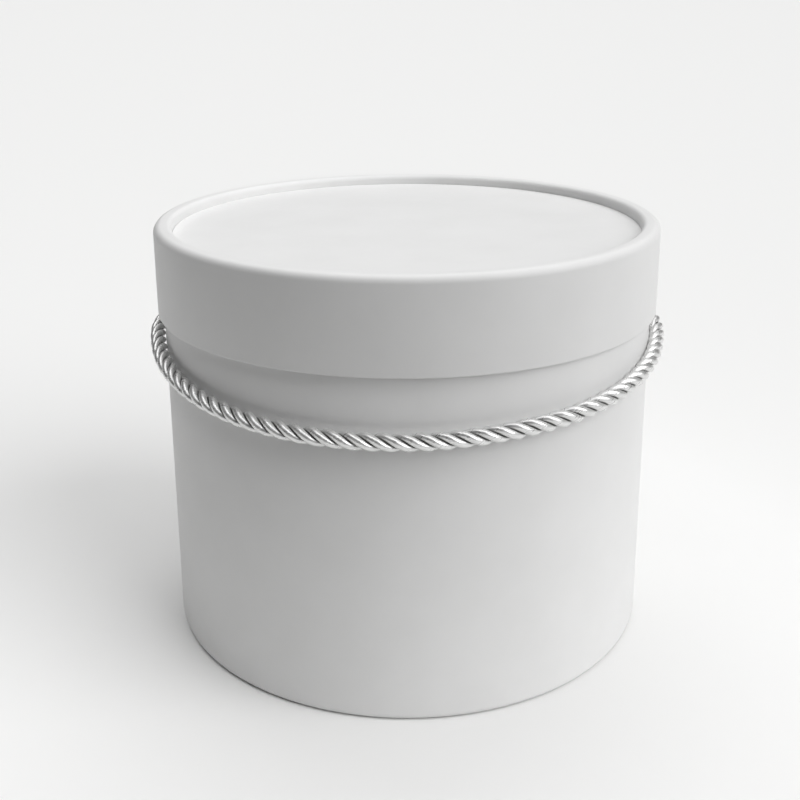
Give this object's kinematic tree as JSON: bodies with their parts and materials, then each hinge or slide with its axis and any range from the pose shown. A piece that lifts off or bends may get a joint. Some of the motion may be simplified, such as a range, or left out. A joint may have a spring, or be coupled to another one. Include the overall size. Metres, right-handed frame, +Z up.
{
  "type": "hat box",
  "caption": "Round paper-covered board hat box with a lift-off rimmed lid and a twisted cord handle that hangs in front and swings up over the lid.",
  "frame": {"origin": "centre of the foot ring's underside, on the drum's axis", "axes": "+Z up along the drum's axis; -Y towards the front, where the handle hangs; X through the two cord holes"},
  "size_m": [0.2105, 0.2085, 0.1695],
  "materials": {
    "white_paper": "smooth matt, very fine grain",
    "lining_paper": "matt",
    "board": "raw greyboard",
    "cord": "satin twisted filament cord",
    "cord_seal": "satin shrunk tape"
  },
  "bodies": {
    "box_body": {"body_tube": "board", "body_wrap": "white_paper", "body_liner": "lining_paper", "base_cover": "lining_paper", "base_disc": "board", "base_liner": "lining_paper"},
    "lid": {"lid_tube": "board", "lid_wrap": "white_paper", "lid_disc_cover": "white_paper", "lid_disc": "board", "lid_disc_liner": "lining_paper"},
    "handle_right_low": {"rope_right_low": "cord", "knot_right": "cord", "tail_right": "cord", "end_seal_right": "cord_seal"},
    "handle_right_side": {"rope_right_side": "cord"},
    "handle_right_front": {"rope_right_front": "cord"},
    "handle_left_low": {"rope_left_low": "cord", "knot_left": "cord", "tail_left": "cord", "end_seal_left": "cord_seal"},
    "handle_left_side": {"rope_left_side": "cord"},
    "handle_left_front": {"rope_left_front": "cord"}
  },
  "joints": [
    {"name": "lid_lift", "type": "slide", "parent": "box_body", "child": "lid", "axis": [0, 0, 1], "range_m": [0, 0.088]},
    {"name": "handle_right_swing", "type": "hinge", "parent": "box_body", "child": "handle_right_low", "pos_m": [0.099, 0, 0.12634], "axis": [0.9803, -0.1261, -0.1518], "range_deg": [-99.15, 0], "deforming": ["rope_right_low"]},
    {"name": "handle_right_side_bend", "type": "hinge", "parent": "handle_right_low", "child": "handle_right_side", "pos_m": [0.09139, -0.0479, 0.11935], "axis": [0.0066, -0.1406, 0.99], "range_deg": [-43.23, 0.8], "deforming": ["rope_right_side"]},
    {"name": "handle_right_front_bend", "type": "hinge", "parent": "handle_right_side", "child": "handle_right_front", "pos_m": [0.04678, -0.09199, 0.11363], "axis": [0.0066, -0.1406, 0.99], "range_deg": [-0.8, 25.71], "deforming": ["rope_right_front"]},
    {"name": "handle_left_swing", "type": "hinge", "parent": "box_body", "child": "handle_left_low", "pos_m": [-0.099, 0, 0.12634], "axis": [0.9803, 0.1261, 0.1518], "range_deg": [-99.95, 0.8], "deforming": ["rope_left_low"]},
    {"name": "handle_left_side_bend", "type": "hinge", "parent": "handle_left_low", "child": "handle_left_side", "pos_m": [-0.09139, -0.0479, 0.11935], "axis": [0.0066, 0.1406, -0.99], "range_deg": [-43.23, 0.8], "deforming": ["rope_left_side"]},
    {"name": "handle_left_front_bend", "type": "hinge", "parent": "handle_left_side", "child": "handle_left_front", "pos_m": [-0.04678, -0.09199, 0.11363], "axis": [0.0066, 0.1406, -0.99], "range_deg": [-0.8, 25.71], "deforming": ["rope_left_front"]}
  ],
  "couplings": [
    {"joint": "handle_right_side_bend", "follows": "handle_right_swing", "ratio": 0.42794},
    {"joint": "handle_right_front_bend", "follows": "handle_right_swing", "ratio": -0.25124},
    {"joint": "handle_left_swing", "follows": "handle_right_swing", "ratio": 1},
    {"joint": "handle_left_side_bend", "follows": "handle_right_swing", "ratio": 0.42794},
    {"joint": "handle_left_front_bend", "follows": "handle_right_swing", "ratio": -0.25124}
  ]
}
